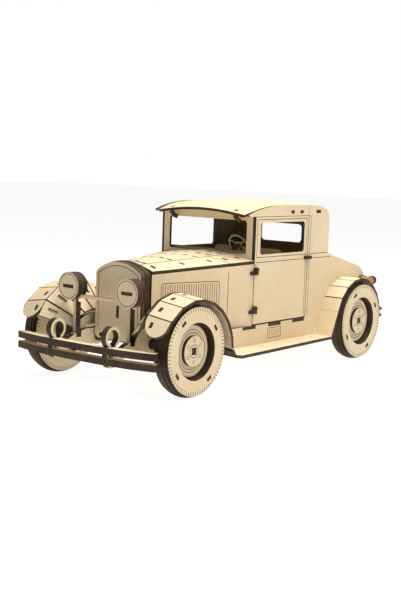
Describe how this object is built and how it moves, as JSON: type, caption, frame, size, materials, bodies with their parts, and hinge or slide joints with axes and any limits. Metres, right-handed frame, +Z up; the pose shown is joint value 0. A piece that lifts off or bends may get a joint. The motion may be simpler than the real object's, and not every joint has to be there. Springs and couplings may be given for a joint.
{
  "type": "wooden 3D puzzle model car",
  "caption": "Laser-cut wooden push-together puzzle model of a vintage two-door coupe with turning wheels and opening doors.",
  "frame": {"origin": "on the ground under the middle of the car's box", "axes": "-Y is the front of the car, +X its left side, +Z up"},
  "size_m": [0.1712, 0.404, 0.1627],
  "materials": {
    "board": "matte",
    "shaded_board": "matte",
    "burnt_edge": "matte",
    "lamp_board": "matte"
  },
  "bodies": {
    "chassis": {"chassis_rail_left": "shaded_board", "chassis_rail_right": "shaded_board", "cross_members": "burnt_edge", "floor_plate": "board", "radiator_front": "shaded_board", "radiator_core": "burnt_edge", "headlight_bracket": "shaded_board", "headlight_left": "shaded_board", "headlight_right": "shaded_board", "bumper_brackets": "board", "front_bumper_upper": "shaded_board", "front_bumper_lower": "shaded_board", "hood_side_left": "board", "hood_side_right": "board", "hood_top": "board", "hood_shoulders": "board", "cowl_top": "board", "hood_formers": "burnt_edge", "windshield_frame": "board", "dashboard": "board", "steering_column": "burnt_edge", "visor_hooks": "burnt_edge", "seat": "board", "sill_left": "board", "sill_right": "board", "running_board_left": "board", "running_board_right": "board", "roof_rail_left": "board", "roof_rail_right": "board", "roof_skin": "board", "roof_brace": "burnt_edge", "quarter_left": "board", "quarter_right": "board", "rear_wall": "board", "rear_deck": "board", "tail_formers": "burnt_edge", "front_fender_left": "board", "front_fender_right": "board", "front_arches": "burnt_edge", "apron_left": "board", "apron_right": "board", "rear_fender_left": "board", "rear_fender_right": "board", "rear_arches": "burnt_edge", "tail_lamps": "lamp_board", "rear_bumper": "burnt_edge", "hinge_brackets": "burnt_edge"},
    "left_door": {"door_left": "board", "latch_left": "burnt_edge"},
    "right_door": {"door_right": "board", "latch_right": "burnt_edge"},
    "steering": {"steering_wheel": "board"},
    "front_wheels": {"front_axle": "burnt_edge", "wheel_front_left": "board", "wheel_front_right": "board", "front_hub_caps": "board"},
    "rear_wheels": {"rear_axle": "burnt_edge", "wheel_rear_left": "board", "wheel_rear_right": "board", "rear_hub_caps": "board"}
  },
  "joints": [
    {"name": "left_door_hinge", "type": "hinge", "parent": "chassis", "child": "left_door", "pos_m": [0.0595, -0.0258, 0.08], "axis": [0, 0, -1], "range_deg": [0, 75]},
    {"name": "right_door_hinge", "type": "hinge", "parent": "chassis", "child": "right_door", "pos_m": [-0.0595, -0.0258, 0.08], "axis": [0, 0, 1], "range_deg": [0, 75]},
    {"name": "steering_turn", "type": "hinge", "parent": "chassis", "child": "steering", "pos_m": [0.016, 0.00531, 0.1208], "axis": [0, 0.866, 0.5], "continuous": true},
    {"name": "front_wheels_roll", "type": "hinge", "parent": "chassis", "child": "front_wheels", "pos_m": [0, -0.1435, 0.04], "axis": [1, 0, 0], "continuous": true},
    {"name": "rear_wheels_roll", "type": "hinge", "parent": "chassis", "child": "rear_wheels", "pos_m": [0, 0.1385, 0.04], "axis": [1, 0, 0], "continuous": true}
  ]
}
